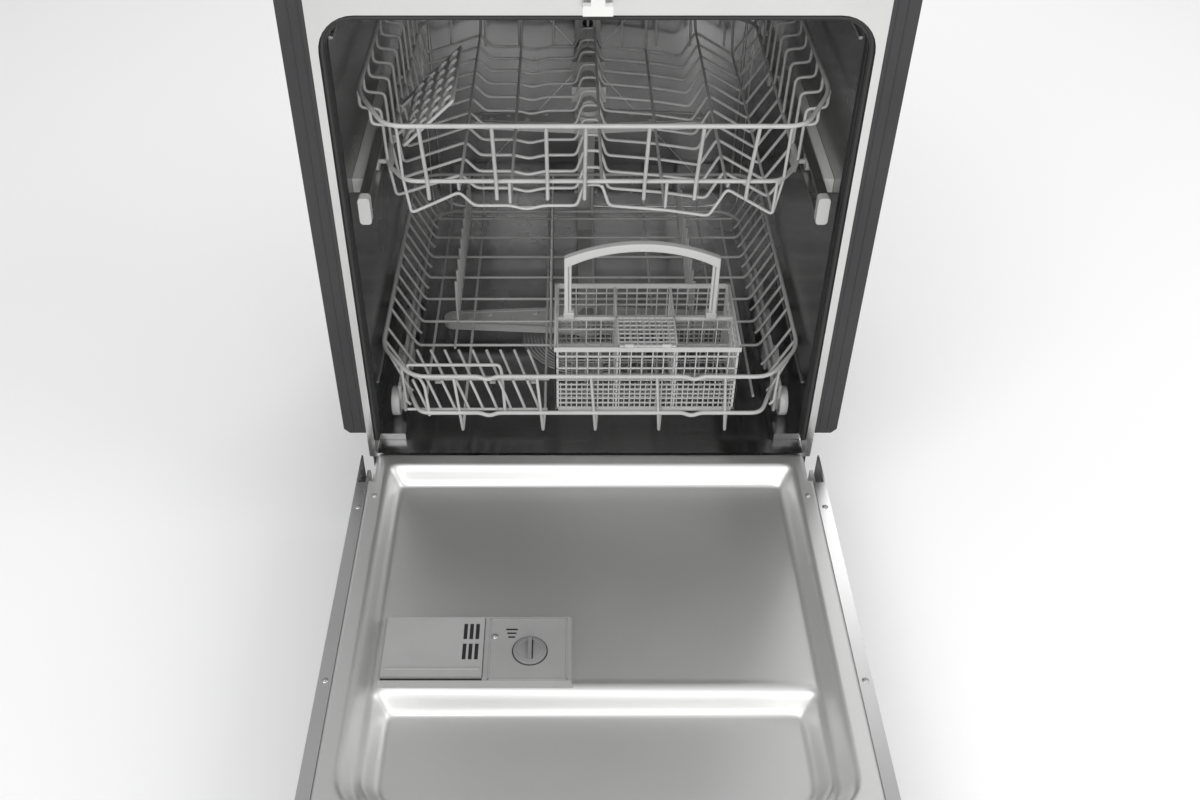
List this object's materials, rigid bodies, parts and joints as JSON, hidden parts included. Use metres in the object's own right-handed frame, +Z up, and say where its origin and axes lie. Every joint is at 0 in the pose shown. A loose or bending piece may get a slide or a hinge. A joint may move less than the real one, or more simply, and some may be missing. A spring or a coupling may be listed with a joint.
{
  "type": "dishwasher",
  "caption": "Built-in dishwasher with drop-down door, two sliding wire racks, cutlery basket, spray arms and detergent dispenser, standing with its door open",
  "frame": {"origin": "middle of the machine's box with the door open, at floor level", "axes": "+Z up, +X to the machine's right as seen from in front, +Y from the open door towards the tub's back; the tub opening faces -Y"},
  "size_m": [0.6406, 1.269, 0.812],
  "materials": {
    "stainless": "satin brushed",
    "door_steel": "satin brushed",
    "zinc_steel": "zinc plated",
    "filter_steel": "fine perforated",
    "gasket_rubber": "matte",
    "seal_rubber": "matte",
    "sound_blanket": "rough",
    "black_plastic": "matte",
    "black_panel": "satin",
    "panel_plastic": "satin",
    "button_plastic": "satin",
    "grey_plastic": "matte",
    "white_plastic": "satin",
    "wheel_plastic": "satin",
    "arm_plastic": "satin",
    "rack_coating": "satin coated wire",
    "basket_plastic": "satin",
    "dispenser_plastic": "satin",
    "lid_plastic": "satin",
    "cap_plastic": "satin"
  },
  "bodies": {
    "cabinet": {"tub": "stainless", "tub_gasket": "gasket_rubber", "tub_blanket": "sound_blanket", "door_strike": "white_plastic", "base_tray": "black_plastic", "toe_panel": "black_panel", "sump": "grey_plastic", "filter_plate": "filter_steel", "circulation_pump": "black_plastic", "drain_pump": "white_plastic", "feed_tube": "grey_plastic", "foot_front_left": "black_plastic", "foot_front_right": "black_plastic", "foot_rear_left": "black_plastic", "foot_rear_right": "black_plastic", "side_seal_left": "seal_rubber", "hinge_bracket_left": "zinc_steel", "rail_guide_left": "white_plastic", "side_seal_right": "seal_rubber", "hinge_bracket_right": "zinc_steel", "rail_guide_right": "white_plastic"},
    "rail_left": {"upper_rail_left": "stainless", "rail_cap_left": "grey_plastic"},
    "lower_wheel_left_1": {"lower_wheel_left_1": "wheel_plastic"},
    "lower_wheel_left_2": {"lower_wheel_left_2": "wheel_plastic"},
    "lower_wheel_left_3": {"lower_wheel_left_3": "wheel_plastic"},
    "lower_wheel_left_4": {"lower_wheel_left_4": "wheel_plastic"},
    "upper_wheel_left_1": {"upper_wheel_left_1": "wheel_plastic"},
    "upper_wheel_left_2": {"upper_wheel_left_2": "wheel_plastic"},
    "rail_right": {"upper_rail_right": "stainless", "rail_cap_right": "grey_plastic"},
    "lower_wheel_right_1": {"lower_wheel_right_1": "wheel_plastic"},
    "lower_wheel_right_2": {"lower_wheel_right_2": "wheel_plastic"},
    "lower_wheel_right_3": {"lower_wheel_right_3": "wheel_plastic"},
    "lower_wheel_right_4": {"lower_wheel_right_4": "wheel_plastic"},
    "upper_wheel_right_1": {"upper_wheel_right_1": "wheel_plastic"},
    "upper_wheel_right_2": {"upper_wheel_right_2": "wheel_plastic"},
    "lower_rack": {"lower_rack": "rack_coating", "wheel_carriage_left": "grey_plastic", "wheel_carriage_right": "grey_plastic", "cutlery_basket": "basket_plastic", "basket_handle": "basket_plastic"},
    "basket_lid": {"basket_lid": "basket_plastic"},
    "folding_tines": {"folding_tines": "rack_coating"},
    "upper_rack": {"upper_rack": "rack_coating", "arm_manifold": "arm_plastic"},
    "cup_shelf": {"cup_shelf": "basket_plastic"},
    "upper_spray_arm": {"upper_spray_arm": "arm_plastic"},
    "lower_spray_arm": {"lower_spray_arm": "arm_plastic"},
    "door": {"door_skin": "door_steel", "door_liner": "stainless", "control_panel": "panel_plastic", "dispenser_body": "dispenser_plastic"},
    "detergent_lid": {"detergent_lid": "lid_plastic"},
    "rinse_cap": {"rinse_cap": "cap_plastic"},
    "door_latch": {"door_latch": "white_plastic"},
    "panel_button_1": {"panel_button_1": "button_plastic"},
    "panel_button_2": {"panel_button_2": "button_plastic"},
    "panel_button_3": {"panel_button_3": "button_plastic"},
    "filter_cup": {"filter_cup": "grey_plastic"}
  },
  "joints": [
    {"name": "door_hinge", "type": "hinge", "parent": "cabinet", "child": "door", "pos_m": [0, 0.0475, 0.13], "axis": [-1, 0, 0], "range_deg": [0, 90]},
    {"name": "lower_rack_slide", "type": "slide", "parent": "cabinet", "child": "lower_rack", "axis": [0, 1, 0], "range_m": [-0.32, 0]},
    {"name": "upper_rack_slide", "type": "slide", "parent": "cabinet", "child": "upper_rack", "axis": [0, 1, 0], "range_m": [-0.25, 0]},
    {"name": "rail_left_slide", "type": "slide", "parent": "cabinet", "child": "rail_left", "axis": [0, 1, 0], "range_m": [-0.176, 0]},
    {"name": "rail_right_slide", "type": "slide", "parent": "cabinet", "child": "rail_right", "axis": [0, 1, 0], "range_m": [-0.176, 0]},
    {"name": "lower_arm_spin", "type": "hinge", "parent": "cabinet", "child": "lower_spray_arm", "pos_m": [0, 0.3465, 0.178], "axis": [0, 0, 1], "continuous": true},
    {"name": "upper_arm_spin", "type": "hinge", "parent": "upper_rack", "child": "upper_spray_arm", "pos_m": [0, 0.4465, 0.45], "axis": [0, 0, 1], "continuous": true},
    {"name": "basket_lid_hinge", "type": "hinge", "parent": "lower_rack", "child": "basket_lid", "pos_m": [0.071, 0.1085, 0.3126], "axis": [1, 0, 0], "range_deg": [0, 100]},
    {"name": "folding_tines_hinge", "type": "hinge", "parent": "lower_rack", "child": "folding_tines", "pos_m": [-0.138, 0.1725, 0.2082], "axis": [-1, 0, 0], "range_deg": [0, 80]},
    {"name": "cup_shelf_hinge", "type": "hinge", "parent": "upper_rack", "child": "cup_shelf", "pos_m": [-0.242, 0.2635, 0.53], "axis": [0, -1, 0], "range_deg": [0, 40]},
    {"name": "detergent_lid_hinge", "type": "hinge", "parent": "door", "child": "detergent_lid", "pos_m": [-0.18, -0.2685, 0.148], "axis": [1, 0, 0], "range_deg": [0, 95]},
    {"name": "rinse_cap_turn", "type": "hinge", "parent": "door", "child": "rinse_cap", "pos_m": [-0.072, -0.2335, 0.148], "axis": [0, 0, 1], "range_deg": [0, 90]},
    {"name": "filter_cup_turn", "type": "hinge", "parent": "cabinet", "child": "filter_cup", "pos_m": [0, 0.2965, 0.12], "axis": [0, 0, 1], "range_deg": [0, 90]},
    {"name": "door_latch_hinge", "type": "hinge", "parent": "door", "child": "door_latch", "pos_m": [0.0215, -0.6045, 0.1453], "axis": [1, 0, 0], "range_deg": [0, 9]},
    {"name": "panel_button_1_push", "type": "slide", "parent": "door", "child": "panel_button_1", "axis": [0, 0, 1], "range_m": [0, 0.0014], "stiffness_N_per_m": 300},
    {"name": "panel_button_2_push", "type": "slide", "parent": "door", "child": "panel_button_2", "axis": [0, 0, 1], "range_m": [0, 0.0014], "stiffness_N_per_m": 300},
    {"name": "panel_button_3_push", "type": "slide", "parent": "door", "child": "panel_button_3", "axis": [0, 0, 1], "range_m": [0, 0.0014], "stiffness_N_per_m": 300},
    {"name": "lower_wheel_left_1_spin", "type": "hinge", "parent": "lower_rack", "child": "lower_wheel_left_1", "pos_m": [-0.26, 0.1555, 0.1853], "axis": [1, 0, 0], "range_deg": [0, 918]},
    {"name": "lower_wheel_left_2_spin", "type": "hinge", "parent": "lower_rack", "child": "lower_wheel_left_2", "pos_m": [-0.26, 0.2445, 0.1853], "axis": [1, 0, 0], "range_deg": [0, 918]},
    {"name": "lower_wheel_left_3_spin", "type": "hinge", "parent": "lower_rack", "child": "lower_wheel_left_3", "pos_m": [-0.26, 0.3325, 0.1853], "axis": [1, 0, 0], "range_deg": [0, 918]},
    {"name": "lower_wheel_left_4_spin", "type": "hinge", "parent": "lower_rack", "child": "lower_wheel_left_4", "pos_m": [-0.26, 0.4155, 0.1853], "axis": [1, 0, 0], "range_deg": [0, 918]},
    {"name": "upper_wheel_left_1_spin", "type": "hinge", "parent": "upper_rack", "child": "upper_wheel_left_1", "pos_m": [-0.2595, 0.2125, 0.516], "axis": [1, 0, 0], "range_deg": [0, 386]},
    {"name": "upper_wheel_left_2_spin", "type": "hinge", "parent": "upper_rack", "child": "upper_wheel_left_2", "pos_m": [-0.2595, 0.4445, 0.516], "axis": [1, 0, 0], "range_deg": [0, 386]},
    {"name": "lower_wheel_right_1_spin", "type": "hinge", "parent": "lower_rack", "child": "lower_wheel_right_1", "pos_m": [0.26, 0.1555, 0.1853], "axis": [1, 0, 0], "range_deg": [0, 918]},
    {"name": "lower_wheel_right_2_spin", "type": "hinge", "parent": "lower_rack", "child": "lower_wheel_right_2", "pos_m": [0.26, 0.2445, 0.1853], "axis": [1, 0, 0], "range_deg": [0, 918]},
    {"name": "lower_wheel_right_3_spin", "type": "hinge", "parent": "lower_rack", "child": "lower_wheel_right_3", "pos_m": [0.26, 0.3325, 0.1853], "axis": [1, 0, 0], "range_deg": [0, 918]},
    {"name": "lower_wheel_right_4_spin", "type": "hinge", "parent": "lower_rack", "child": "lower_wheel_right_4", "pos_m": [0.26, 0.4155, 0.1853], "axis": [1, 0, 0], "range_deg": [0, 918]},
    {"name": "upper_wheel_right_1_spin", "type": "hinge", "parent": "upper_rack", "child": "upper_wheel_right_1", "pos_m": [0.2595, 0.2125, 0.516], "axis": [1, 0, 0], "range_deg": [0, 386]},
    {"name": "upper_wheel_right_2_spin", "type": "hinge", "parent": "upper_rack", "child": "upper_wheel_right_2", "pos_m": [0.2595, 0.4445, 0.516], "axis": [1, 0, 0], "range_deg": [0, 386]}
  ],
  "couplings": [
    {"joint": "rail_left_slide", "follows": "upper_rack_slide", "ratio": 0.7},
    {"joint": "rail_right_slide", "follows": "upper_rack_slide", "ratio": 0.7},
    {"joint": "lower_wheel_left_1_spin", "follows": "lower_rack_slide", "rad_per_m": -50},
    {"joint": "lower_wheel_left_2_spin", "follows": "lower_rack_slide", "rad_per_m": -50},
    {"joint": "lower_wheel_left_3_spin", "follows": "lower_rack_slide", "rad_per_m": -50},
    {"joint": "lower_wheel_left_4_spin", "follows": "lower_rack_slide", "rad_per_m": -50},
    {"joint": "upper_wheel_left_1_spin", "follows": "upper_rack_slide", "rad_per_m": -26.786},
    {"joint": "upper_wheel_left_2_spin", "follows": "upper_rack_slide", "rad_per_m": -26.786},
    {"joint": "lower_wheel_right_1_spin", "follows": "lower_rack_slide", "rad_per_m": -50},
    {"joint": "lower_wheel_right_2_spin", "follows": "lower_rack_slide", "rad_per_m": -50},
    {"joint": "lower_wheel_right_3_spin", "follows": "lower_rack_slide", "rad_per_m": -50},
    {"joint": "lower_wheel_right_4_spin", "follows": "lower_rack_slide", "rad_per_m": -50},
    {"joint": "upper_wheel_right_1_spin", "follows": "upper_rack_slide", "rad_per_m": -26.786},
    {"joint": "upper_wheel_right_2_spin", "follows": "upper_rack_slide", "rad_per_m": -26.786}
  ]
}
